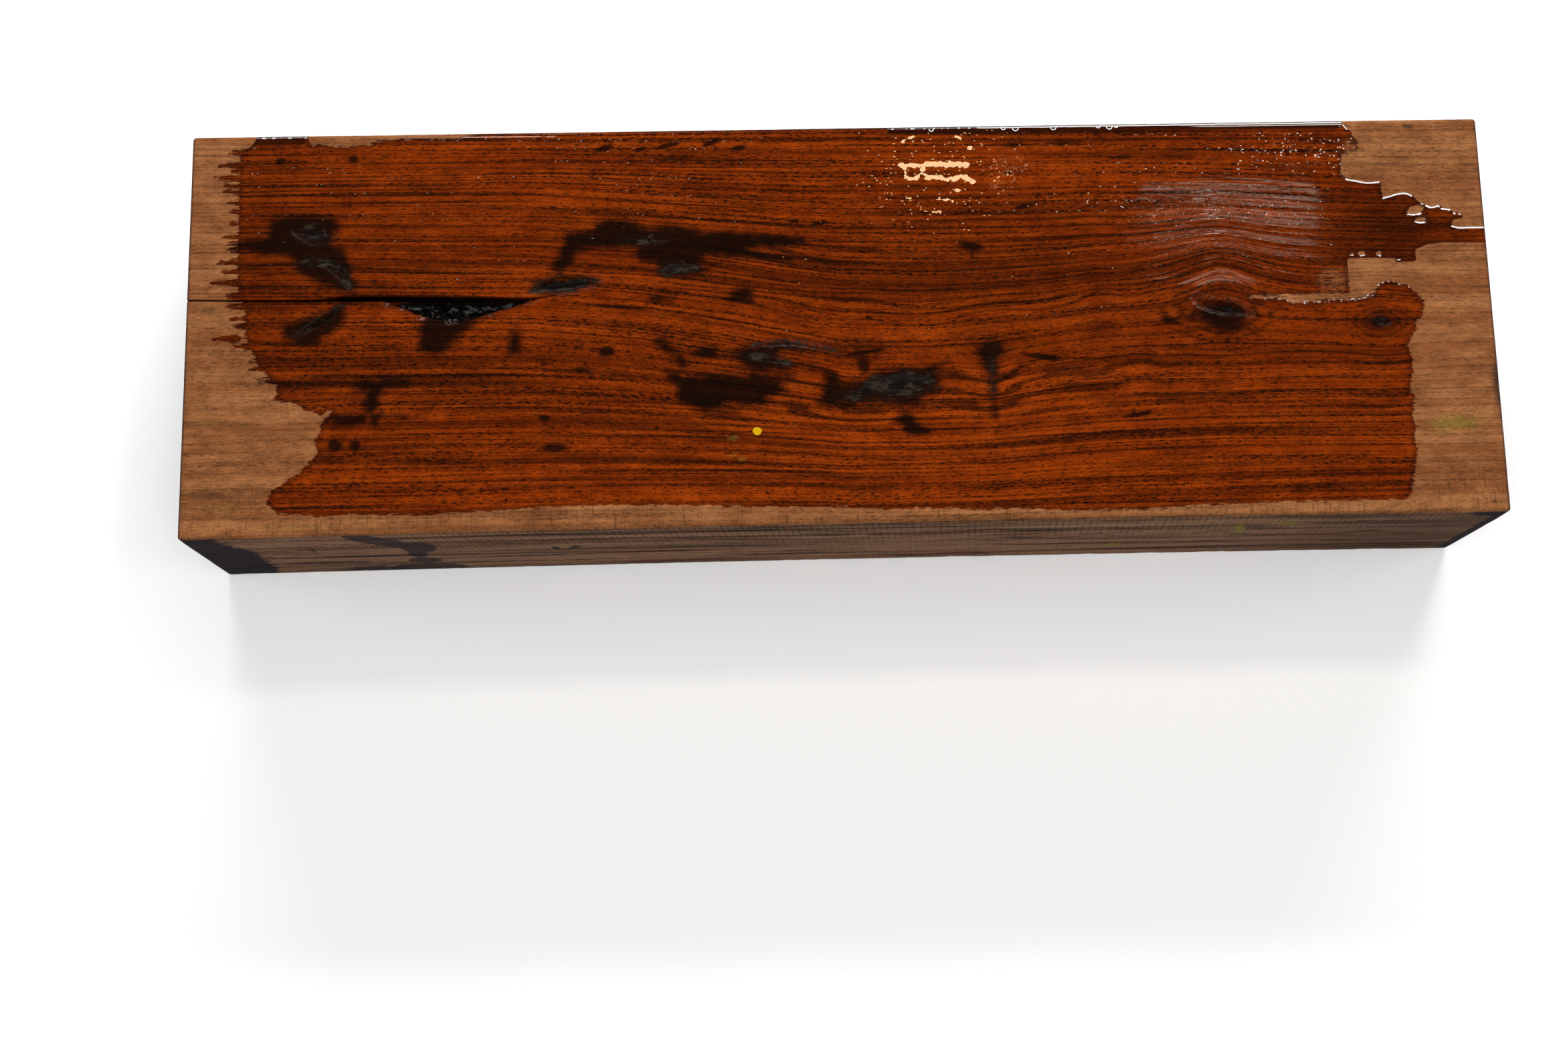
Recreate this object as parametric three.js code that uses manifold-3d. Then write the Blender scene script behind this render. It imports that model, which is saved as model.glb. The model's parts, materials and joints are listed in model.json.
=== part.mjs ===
// A cocobolo guitar billet: one rough-sawn block of rosewood, long enough for guitar backs and sides.
// Units are millimetres. X runs along the grain, Y across the top face towards the back, and Z up.
// The origin is the middle of the underside's bounding rectangle, so the block stands on Z = 0.
// The top face carries the block's flaws: a drying split from the left end, bark pockets and knot holes.

import * as THREE from "three";
import { mergeVertices } from "three/addons/utils/BufferGeometryUtils.js";
import Module from "manifold-3d";

const wasm = await Module();
wasm.setup();

// Driving sizes of the block
const LENGTH = 640;
const THICKNESS = 96;
const WIDTH_LEFT = 204;
const WIDTH_RIGHT = 201.3;
const FRONT_BOW = 1.1; // how far the saw wandered into the front face at mid-length
const ARRIS = 1.8; // radius that handling has worn on the edges
const ARRIS_WEAR = 0.45; // how much that radius comes and goes along the block
const WEAR_WAVES = [37, 83]; // the two lengths that set how often it does so

// How finely the block is faceted
const STATIONS_ALONG = 40;
const ARC_STEPS = 4; // facets of a worn edge
const END_STEPS = 3; // facets round into each end

// Cutters reach this far above the top face, so no face of theirs lies in it
const CUTTER_RISE = 1;
const HOLLOW_STEPS = 8; // points across the bed of a hollow
const HOLLOW_ROUGHNESS = 0.16; // how far a hollow's edge and bed stray, as a share of its size
const BED_SHAPE = 0.7; // below 1 gives a hollow a flatter bed and steeper banks
const MERGE_DISTANCE = 1e-4; // points nearer than this are one point
const RANDOM_SEED = 7;

const BACK = WIDTH_LEFT / 2;

// The drying split: [x, y, half its width, depth] where it meets the top face
const SPLIT = [
  [-LENGTH / 2 - 2, 17.4, 0.4, 40],
  [-300, 16.8, 0.4, 37],
  [-280, 16.4, 0.35, 33],
  [-262, 16.2, 0.4, 30],
  [-252, 16.4, 0.9, 28],
  [-244, 16.9, 1.7, 26],
  [-234, 17, 1.9, 24],
  [-222, 16.8, 1.8, 22],
  [-208, 16.7, 1.6, 20],
  [-194, 16.6, 1.5, 18],
  [-180, 16.2, 1.2, 15],
  [-166, 15.7, 0.9, 12],
  [-155, 15.3, 0.7, 9],
  [-146, 16, 0.5, 6],
  [-139, 17.2, 0.3, 3],
];
const SPLIT_FOOT = 0.25; // width of the split's foot, as a share of its mouth

// Hollows in the top face. Each is a row of [x, y, half width, depth] from one tip to the other.
const HOLLOWS = {
  long_bark_pocket: [
    [-223, 14.8, 0.5, 1.5],
    [-214, 13.4, 2, 4],
    [-206, 12, 4.2, 6],
    [-198, 11, 5.5, 7],
    [-190, 10.6, 6, 7],
    [-182, 11, 5.2, 7],
    [-174, 11.8, 4, 6],
    [-165, 13, 2.6, 5],
    [-157, 14.2, 1.4, 3.5],
    [-150, 15, 0.4, 1.5],
  ],
  upper_bark_pocket: [
    [-153, 18.8, 0.5, 0.8],
    [-147, 21, 2.6, 2],
    [-140, 22, 4, 2.6],
    [-132, 22.8, 4, 2.6],
    [-125, 23.5, 3, 2],
    [-119, 24.3, 0.6, 0.8],
  ],
  left_bark_patch: [
    [-269, 51.4, 0.5, 0.4],
    [-264, 51, 3.4, 1.4],
    [-258, 49.6, 5, 1.8],
    [-253, 48.6, 3.6, 1.4],
    [-249, 48.5, 0.6, 0.4],
  ],
  left_bark_tail: [
    [-266, 36.4, 0.5, 0.4],
    [-258, 36.6, 1.9, 1.2],
    [-250, 35.2, 2.4, 1.6],
    [-245, 31.5, 2.8, 1.8],
    [-241.5, 27, 2.8, 1.6],
    [-239.5, 22, 0.8, 0.6],
  ],
  slanting_groove: [
    [-243, 14.2, 0.5, 0.8],
    [-247, 11, 1.2, 2],
    [-252, 7.4, 1.5, 2.4],
    [-257, 3.6, 1.5, 2.2],
    [-262, 0.4, 1.4, 1.6],
    [-267, -1.2, 0.5, 0.6],
  ],
  middle_bark_streak: [
    [-108, 44.2, 0.5, 0.4],
    [-100, 44.4, 1.9, 1],
    [-93, 44.2, 2.2, 1.2],
    [-85, 44.2, 0.5, 0.4],
  ],
  middle_bark_pocket: [
    [-90, 30, 0.5, 0.4],
    [-84, 29.3, 3, 1.6],
    [-78, 29.6, 3, 1.8],
    [-73, 30.4, 1.8, 1],
    [-69, 30.6, 0.5, 0.4],
  ],
  lower_bark_patch: [
    [-49, -15, 0.5, 0.4],
    [-43, -15.4, 2.4, 1.2],
    [-37, -16.4, 2.6, 1.4],
    [-31, -18, 2, 1],
    [-25, -19.6, 0.5, 0.4],
  ],
  feather_groove: [
    [-44, -10.6, 0.4, 0.4],
    [-36, -9.4, 1.4, 1],
    [-27, -9.2, 1.5, 1.2],
    [-18, -10.6, 1.3, 1],
    [-9, -12, 0.9, 0.8],
    [0, -13.6, 0.3, 0.3],
  ],
  right_bark_pocket: [
    [-3, -38.6, 0.6, 0.5],
    [6, -35.8, 3, 1.6],
    [15, -33, 5, 2.6],
    [25, -31.2, 6.4, 3.2],
    [34, -30.4, 6, 3],
    [41, -30.6, 3.6, 2],
    [46, -31, 0.6, 0.6],
  ],
  knot_slit: [
    [72.6, -11, 0.4, 0.4],
    [72.8, -20, 0.9, 1.2],
    [73, -29, 0.8, 1],
    [73, -38, 0.3, 0.4],
  ],
  knot_hole: [
    [174, 11, 0.4, 0.8],
    [179, 7.8, 2.2, 3.5],
    [185, 5.8, 3.2, 5],
    [191, 5.3, 3.4, 5],
    [196.5, 3.6, 2, 3],
    [200, 1.4, 0.4, 0.8],
  ],
  small_knot_hole: [
    [260.5, -2.2, 0.4, 0.5],
    [264, -3, 1.6, 1.6],
    [267.5, -3.9, 0.4, 0.5],
  ],
};

// A small seeded generator, so that the rough edges come out the same each time
function seededRandom(seed) {
  let state = seed;
  return () => {
    state = (state * 1664525 + 1013904223) % 4294967296;
    return state / 4294967296;
  };
}

const random = seededRandom(RANDOM_SEED);
const stray = (size) => (random() * 2 - 1) * HOLLOW_ROUGHNESS * size;

// The front face's Y at x: the two widths, less the saw's wander
function frontY(x) {
  const t = x / LENGTH + 0.5;
  const width = THREE.MathUtils.lerp(WIDTH_LEFT, WIDTH_RIGHT, t);
  return BACK - width + FRONT_BOW * 4 * t * (1 - t);
}

function arrisAt(x) {
  return ARRIS + ARRIS_WEAR * Math.sin(x / WEAR_WAVES[0]) * Math.cos(x / WEAR_WAVES[1]);
}

// One section of the block at x: a rectangle with worn corners, drawn anticlockwise seen from +X
function sectionAt(x, inset) {
  const radius = arrisAt(x);
  const low = { y: frontY(x) + inset, z: inset };
  const high = { y: BACK - inset, z: THICKNESS - inset };
  const corners = [
    { y: high.y - radius, z: low.z + radius, turn: -Math.PI / 2 },
    { y: high.y - radius, z: high.z - radius, turn: 0 },
    { y: low.y + radius, z: high.z - radius, turn: Math.PI / 2 },
    { y: low.y + radius, z: low.z + radius, turn: Math.PI },
  ];
  const points = [];
  for (const corner of corners) {
    for (let i = 0; i <= ARC_STEPS; i++) {
      const angle = corner.turn + ((Math.PI / 2) * i) / ARC_STEPS;
      const y = corner.y + radius * Math.cos(angle);
      const z = corner.z + radius * Math.sin(angle);
      points.push(new THREE.Vector3(x, y, z));
    }
  }
  return points;
}

// Rings of points, all with the same count, skinned into one closed surface with a fan over each end
function skin(rings) {
  const count = rings[0].length;
  const middleOf = (ring) =>
    ring.reduce((sum, p) => sum.add(p), new THREE.Vector3()).divideScalar(count);
  const points = [...rings.flat(), middleOf(rings[0]), middleOf(rings.at(-1))];
  const firstMiddle = points.length - 2;
  const lastMiddle = points.length - 1;
  const lastRing = (rings.length - 1) * count;
  const index = [];
  for (let i = 0; i < count; i++) {
    const next = (i + 1) % count;
    for (let r = 0; r < rings.length - 1; r++) {
      const here = r * count;
      const there = here + count;
      index.push(here + i, here + next, there + i);
      index.push(here + next, there + next, there + i);
    }
    index.push(firstMiddle, next, i);
    index.push(lastMiddle, lastRing + i, lastRing + next);
  }
  return new THREE.BufferGeometry().setFromPoints(points).setIndex(index);
}

function blockGeometry() {
  const rings = [];
  const half = LENGTH / 2;
  const roundIn = (side) =>
    Array.from({ length: END_STEPS + 1 }, (_, i) => {
      const angle = ((Math.PI / 2) * i) / END_STEPS;
      const x = side * (half - ARRIS * (1 - Math.cos(angle)));
      return sectionAt(x, ARRIS * (1 - Math.sin(angle)));
    });
  rings.push(...roundIn(-1));
  for (let i = 1; i < STATIONS_ALONG; i++) {
    rings.push(sectionAt(-half + (LENGTH * i) / STATIONS_ALONG, 0));
  }
  rings.push(...roundIn(1).reverse());
  return skin(rings);
}

// Which way a row of stations runs at station i, seen from above
function directionAt(stations, i) {
  const before = stations[Math.max(i - 1, 0)];
  const after = stations[Math.min(i + 1, stations.length - 1)];
  return new THREE.Vector2(after[0] - before[0], after[1] - before[1]).normalize();
}

// The split's cutter: a thin wedge that narrows to its foot
function splitGeometry() {
  const rings = SPLIT.map(([x, y, half, depth]) => {
    const foot = half * SPLIT_FOOT;
    const top = THICKNESS + CUTTER_RISE;
    const bottom = THICKNESS - depth;
    return [
      new THREE.Vector3(x, y - half, top),
      new THREE.Vector3(x, y - foot, bottom),
      new THREE.Vector3(x, y + foot, bottom),
      new THREE.Vector3(x, y + half, top),
    ];
  });
  return skin(rings);
}

// A hollow's cutter: a boat shape along its stations, with a rough rim and bed
function hollowGeometry(stations) {
  const rings = stations.map(([x, y, half, depth], i) => {
    const along = directionAt(stations, i);
    const across = new THREE.Vector2(-along.y, along.x);
    const ring = [];
    for (let j = 0; j <= HOLLOW_STEPS; j++) {
      const angle = (Math.PI * j) / HOLLOW_STEPS;
      const reach = -half * Math.cos(angle) + stray(half);
      const drop = depth * Math.sin(angle) ** BED_SHAPE + (j % HOLLOW_STEPS ? stray(depth) : 0);
      ring.push(
        new THREE.Vector3(x + across.x * reach, y + across.y * reach, THICKNESS - drop),
      );
    }
    const rim = [ring.at(-1), ring[0]];
    ring.push(...rim.map((p) => new THREE.Vector3(p.x, p.y, THICKNESS + CUTTER_RISE)));
    return ring;
  });
  return skin(rings);
}

function toSolid(geometry) {
  const bare = geometry.clone();
  bare.deleteAttribute("normal");
  bare.deleteAttribute("uv");
  const merged = mergeVertices(bare, MERGE_DISTANCE);
  return new wasm.Manifold(
    new wasm.Mesh({
      numProp: 3,
      vertProperties: merged.attributes.position.array,
      triVerts: new Uint32Array(merged.index.array),
    }),
  );
}

function toGeometry(solid) {
  const mesh = solid.getMesh();
  const geometry = new THREE.BufferGeometry();
  geometry.setAttribute("position", new THREE.BufferAttribute(mesh.vertProperties, 3));
  geometry.setIndex(new THREE.BufferAttribute(mesh.triVerts, 1));
  geometry.computeVertexNormals();
  return geometry;
}

function cutBillet() {
  let solid = toSolid(blockGeometry());
  solid = solid.subtract(toSolid(splitGeometry()));
  for (const stations of Object.values(HOLLOWS)) {
    solid = solid.subtract(toSolid(hollowGeometry(stations)));
  }
  return toGeometry(solid);
}

const cocobolo = new THREE.MeshStandardMaterial({
  name: "cocobolo",
  color: 0x7a3a1c,
  roughness: 0.55,
  metalness: 0,
});

const billet = new THREE.Mesh(cutBillet(), cocobolo);
billet.name = "billet";

const part = new THREE.Group();
part.name = "cocobolo_guitar_billet";
part.add(billet);

export default part;
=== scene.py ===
import json
import math

import bmesh
import bpy
import numpy as np
from bpy.props import FloatProperty, FloatVectorProperty, IntProperty, PointerProperty
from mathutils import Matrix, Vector, noise


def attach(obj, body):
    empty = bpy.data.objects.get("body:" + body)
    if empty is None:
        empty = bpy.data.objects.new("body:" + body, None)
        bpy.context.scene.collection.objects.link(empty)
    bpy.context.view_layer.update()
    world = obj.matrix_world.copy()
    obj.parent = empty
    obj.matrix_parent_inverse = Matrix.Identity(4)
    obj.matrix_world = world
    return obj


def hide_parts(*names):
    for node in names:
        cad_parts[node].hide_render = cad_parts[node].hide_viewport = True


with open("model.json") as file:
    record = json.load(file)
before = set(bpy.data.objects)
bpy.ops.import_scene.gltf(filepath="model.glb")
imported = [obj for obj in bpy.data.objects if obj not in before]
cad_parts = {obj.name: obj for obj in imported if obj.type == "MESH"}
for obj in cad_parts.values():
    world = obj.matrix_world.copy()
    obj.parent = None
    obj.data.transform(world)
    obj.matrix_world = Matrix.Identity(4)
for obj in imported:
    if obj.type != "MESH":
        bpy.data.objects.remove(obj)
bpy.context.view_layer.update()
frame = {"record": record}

bl_info = {
    "name": "Cocobolo guitar billet",
    "version": (1, 0, 0),
    "blender": (4, 5, 0),
    "location": "3D View > Sidebar > Billet",
    "description": "Makes a rough-sawn cocobolo billet with a wetted top, and its stage",
    "category": "Add Mesh",
}

MM = 0.001

# The block, in millimetres. X runs along the grain, Y to the back, Z up.
RIGHT_END = 320.0
BACK = 102.0

# The columns of the top's mesh stand closer where bark pockets lie: places along X, and the
# number of columns to the left of each
COLUMN_PLACES = ([-318.2, -270.0, -118.0, 172.0, 318.2], [0, 24, 119, 257, 333])
# How many cuts each round puts in along, across and up the block
COLUMN_CUTS = (8, 36)
ROW_CUTS = (9, 21)
HEIGHT_CUTS = (11,)
ARRIS_SEGMENTS = 3
SMOOTH_ANGLE = 40

# The drying split, from the left end to its tip: [x, y, half its width, depth]
SPLIT = [
    (-322, 17.4, 0.5, 40), (-300, 16.8, 0.6, 37), (-280, 16.4, 0.7, 33), (-262, 16.2, 0.75, 30),
    (-252, 16.4, 0.9, 28), (-244, 16.9, 1.7, 26), (-234, 17, 1.9, 24), (-222, 16.8, 1.8, 22),
    (-208, 16.7, 1.6, 20), (-194, 16.6, 1.5, 18), (-180, 16.2, 1.2, 15), (-166, 15.7, 0.9, 12),
    (-155, 15.3, 0.7, 9), (-146, 16, 0.5, 6), (-139, 17.2, 0.3, 3),
]
SPLIT_FOOT = 0.25  # the width of its foot as a share of its width at the top
SPLIT_REACH = 2.5  # its walls lie within this of its middle
CUTTER_RISE = 1.0  # how far the cutting wedge stands out of the top

# Where the top ends and the worn edges begin: the front, the back and both ends
TOP_FRONT, TOP_BACK, TOP_END = -98.5, 101.0, 318.6
DEEPEST_POCKET = 12.0
EDGE_BAND = (0.3, 1.9)  # how far below the top it turns into the sides
END_BAND = (318.4, 319.8)  # where the sides turn into the ends
WORN_WITHIN = (3.0, 2.2)  # how near the nearest face and the next one an edge is dinted
NOT_NEAR = -50.0  # stands for well outside every outline
OFF_TOP = -10.0  # stands for outside, on the sides
KNOT_DEPTH = 40.0  # how far below the top the knots have faded
PUSH_DEPTH = 30.0  # how far below the top the grain runs straight again

# Hollows in the top: rows of [x, y, half width, depth] from one tip to the other
HOLLOWS = {
    "long_bark_pocket": [
        (-223, 14.8, 0.5, 1.5), (-214, 13.4, 2, 4), (-206, 12, 4.2, 6), (-198, 11, 5.5, 7),
        (-190, 10.6, 6, 7), (-182, 11, 5.2, 7), (-174, 11.8, 4, 6), (-165, 13, 2.6, 5),
        (-157, 14.2, 1.4, 3.5), (-150, 15, 0.4, 1.5)],
    "upper_bark_pocket": [
        (-153, 18.8, 0.5, 0.8), (-147, 21, 2.6, 2), (-140, 22, 4, 2.6), (-132, 22.8, 4, 2.6),
        (-125, 23.5, 3, 2), (-119, 24.3, 0.6, 0.8)],
    "left_bark_patch": [
        (-269, 51.4, 0.5, 0.2), (-264, 51, 3.4, 0.7), (-258, 49.6, 5, 0.9), (-253, 48.6, 3.6, 0.7),
        (-249, 48.5, 0.6, 0.2)],
    "left_bark_tail": [
        (-266, 36.4, 0.5, 0.2), (-258, 36.6, 1.9, 0.6), (-250, 35.2, 2.4, 0.8),
        (-245, 31.5, 2.8, 0.9), (-241.5, 27, 2.8, 0.8), (-239.5, 22, 0.8, 0.3)],
    "slanting_groove": [
        (-243, 14.2, 0.5, 0.8), (-247, 11, 1.2, 2), (-252, 7.4, 1.5, 2.4), (-257, 3.6, 1.5, 2.2),
        (-262, 0.4, 1.4, 1.6), (-267, -1.2, 0.5, 0.6)],
    "middle_bark_streak": [
        (-108, 44.2, 0.5, 0.2), (-100, 44.4, 1.9, 0.5), (-93, 44.2, 2.2, 0.6),
        (-85, 44.2, 0.5, 0.2)],
    "middle_bark_pocket": [
        (-90, 30, 0.5, 0.2), (-84, 29.3, 3, 0.8), (-78, 29.6, 3, 0.9), (-73, 30.4, 1.8, 0.5),
        (-69, 30.6, 0.5, 0.2)],
    "lower_bark_patch": [
        (-49, -15, 0.5, 0.2), (-43, -15.4, 2.4, 0.6), (-37, -16.4, 2.6, 0.7), (-31, -18, 2, 0.5),
        (-25, -19.6, 0.5, 0.2)],
    "feather_groove": [
        (-44, -10.6, 0.4, 0.4), (-36, -9.4, 1.4, 1), (-27, -9.2, 1.5, 1.2), (-18, -10.6, 1.3, 1),
        (-9, -12, 0.9, 0.8), (0, -13.6, 0.3, 0.3)],
    "right_bark_pocket": [
        (-3, -38.6, 0.6, 0.2), (6, -35.8, 3, 0.7), (15, -33, 5, 1.1), (25, -31.2, 6.4, 1.4),
        (34, -30.4, 6, 1.3), (41, -30.6, 3.6, 0.9), (46, -31, 0.6, 0.3)],
    "knot_slit": [
        (72.6, -11, 0.4, 0.4), (72.8, -20, 0.9, 1.2), (73, -29, 0.8, 1), (73, -38, 0.3, 0.4)],
    "knot_hole": [
        (174, 11, 0.4, 0.8), (179, 7.6, 1.7, 2.2), (185, 5.8, 2.2, 3), (191, 5.3, 2.2, 3),
        (196.5, 3.9, 1.5, 2), (200, 1.8, 0.4, 0.8)],
    "small_knot_hole": [
        (260.5, -2.2, 0.4, 0.5), (264, -3, 1.6, 1.6), (267.5, -3.9, 0.4, 0.5)],
}

# The edge of the wetted area, once round from the back left corner
WET_OUTLINE = [
    (-287, 104), (-289, 99), (-291, 96.5), (-296, 93), (-296, 60), (-295, 20), (-291, 15),
    (-291, 0), (-288, -8), (-286, -11), (-283, -17), (-279, -22), (-275, -26), (-274, -34.5),
    (-266, -35), (-262, -38.5), (-253, -41.5), (-247, -38.5), (-250, -43), (-253, -45),
    (-253, -50), (-256, -54), (-254, -60), (-258, -65), (-263, -70), (-270, -75), (-276, -79),
    (-278, -85), (-272, -90), (-262, -91), (-250, -92), (-240, -91), (-200, -92), (-185, -91),
    (-165, -90), (-140, -89), (-120, -88.5), (-80, -89), (-60, -90), (-30, -91), (0, -91.5),
    (20, -93), (40, -92.5), (60, -94), (80, -93.5), (105, -95), (140, -95), (160, -94), (185, -93),
    (210, -92.5), (270, -92.5), (272, -90), (273.5, -85), (275, -78), (277, -68), (276, -62),
    (277, -57), (276, -50), (278, -41), (276, -38), (277.5, -30), (278, -22), (276.5, -16),
    (278, -12), (280, -9.5), (282, -7), (281, -3), (284, -2), (285, 0), (286, 4), (286, 7),
    (284, 10), (282, 12), (279, 15), (274, 16.5), (271, 18), (267, 17), (264, 15.5), (262, 12),
    (258, 9.5), (250, 8.5), (240, 8.5), (230, 7.5), (222, 7.5), (215, 10), (203, 9.5), (200, 10.5),
    (210, 11.5), (235, 11.5), (250, 11), (250, 29.5), (262, 29.5), (276, 29), (273, 28.5),
    (274, 27), (284, 27.5), (284, 33.5), (290, 36), (300, 37), (310, 36.5), (324, 36.5), (324, 45),
    (306, 45), (303, 46), (304, 48.5), (309, 49.5), (309, 52), (305, 52.5), (303, 54.5), (299, 55),
    (298, 57), (294, 55.5), (291, 57), (288, 58), (286, 60.5), (284, 62.5), (281, 63.5), (277, 63),
    (274, 62), (270, 61), (269.5, 66), (270, 69.5), (263, 69), (258, 70), (253, 71), (250, 74),
    (250.5, 78), (251, 83), (254, 84.5), (260, 86), (260, 90), (258, 93), (256, 96.5),
    (252, 101.5), (252, 104), (-180, 104), (-180, 101), (-190, 99), (-205, 99.5), (-228, 99),
    (-233, 96.5), (-240, 96), (-250, 95.5), (-255, 97), (-261, 97), (-263, 101), (-263, 104),
]
# Where water ran along the grain past that edge: [x, y] of each tip
WET_TIPS = [
    (-301, 93.5), (-306, 86.5), (-300, 84), (-309, 80), (-303, 76), (-303, 73), (-301, 67.5),
    (-300, 62.5), (-301, 56), (-303, 49.5), (-300, 46), (-300, 43), (-305, 36.5), (-303, 31.5),
    (-308, 26), (-300, 19.5), (-300, 18), (-300, 14.5), (-296, 13), (-298, 7.5), (-297, 3.5),
    (-306, -2.5), (-297, -6.5), (-293, -7), (-288, -14), (-288, -18), (-284, -24), (-276, -33),
]
TIP_ROOT = 12.0  # how far in from its tip each finger of water begins
TIP_HALF_WIDTH = 2.1
DRY_ISLANDS = [
    [(281, 52.5), (283, 55.5), (287, 56.5), (290, 55.5), (289, 53), (285, 52)],
    [(285, 48.6), (286, 50.2), (290.5, 50.2), (291, 48.4), (288, 47.8)],
    [(251, 31.6), (253, 32.4), (253.4, 31.6), (252, 31.2)],
    [(255, 31.4), (256, 33), (258.6, 33), (259, 31.6), (257, 31)],
    [(264, 31.4), (265, 33), (267, 33), (267.4, 31.6), (266, 31)],
]
# Where the water stands
POOLS = [
    [(245, 70), (240, 54), (242, 40), (248, 27), (290, 26), (300, 33), (324, 33), (324, 46),
     (304, 48), (302, 58), (288, 60), (284, 65), (272, 64), (270, 72), (252, 76)],
    [(-224, 15), (-206, 4), (-190, 3), (-176, 6), (-157, 12), (-150, 15)],
    [(25, 98), (60, 97), (252, 97), (254, 104), (25, 104)],
    [(-291, 96), (-264, 97), (-263, 104), (-287, 104)],
]
# Flat films that mirror a lamp: strokes from one end to the other, and half their width
FILMS = [
    (31, 81.6, 44, 81.2, 1.1), (44, 81.9, 64, 81.3, 1.5), (41, 81, 43.5, 75, 1.1),
    (33.4, 80, 33, 76, 0.6), (33.4, 75, 39, 74.4, 0.7), (39, 74.4, 41, 77, 0.7),
    (43.5, 75, 50, 74.8, 1.2), (50, 74.8, 56, 73.4, 1.0), (56, 73.6, 62, 75.2, 1.1),
    (62, 75.2, 67, 72.4, 1.2), (32, 93.6, 38.5, 97, 0.6), (63, 91.4, 64, 89.6, 0.7),
    (64, 89.6, 66.4, 90, 0.8), (59, 96.2, 62, 95.6, 0.6), (33, 65, 35.6, 64, 0.6),
    (48, 64.2, 56, 62.6, 0.6), (57, 68, 61, 68.4, 0.5), (47, 57, 49.5, 56.6, 0.8),
    (71.5, 97, 73, 96.4, 0.4),
]
FILM_FACES = (49.0, 77.0)  # the place whose mirrored lamp all films show
FILM_TILT = 0.00083  # how much they lean towards it, a millimetre away
TURNED_AWAY = -0.06  # how the water round the films slopes, so that it shows no lamp
SHORE_STEP = 0.6  # how far behind a point the next one is looked at, to tell which way it faces
BACK_RUN = (5, 16)  # how far water has run down the back: at least, and how much more
SHORE_SLOPE = 0.45  # how steeply a shore of standing water faces the back
SHORE_SLOPE_LOSS = 0.0006  # how much less steeply, a millimetre nearer the back
WATER_IOR = 1.33
# Where the brim along the back hangs down in a drip: [x, y, radius]
DRIPS = [(83, 100.6, 1.1), (89, 100.4, 1.5), (108, 100.5, 1.4), (130.5, 100.7, 1.0),
         (136, 100.4, 1.4), (139.4, 100.7, 0.9), (47, 100.2, 1.0)]

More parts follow.
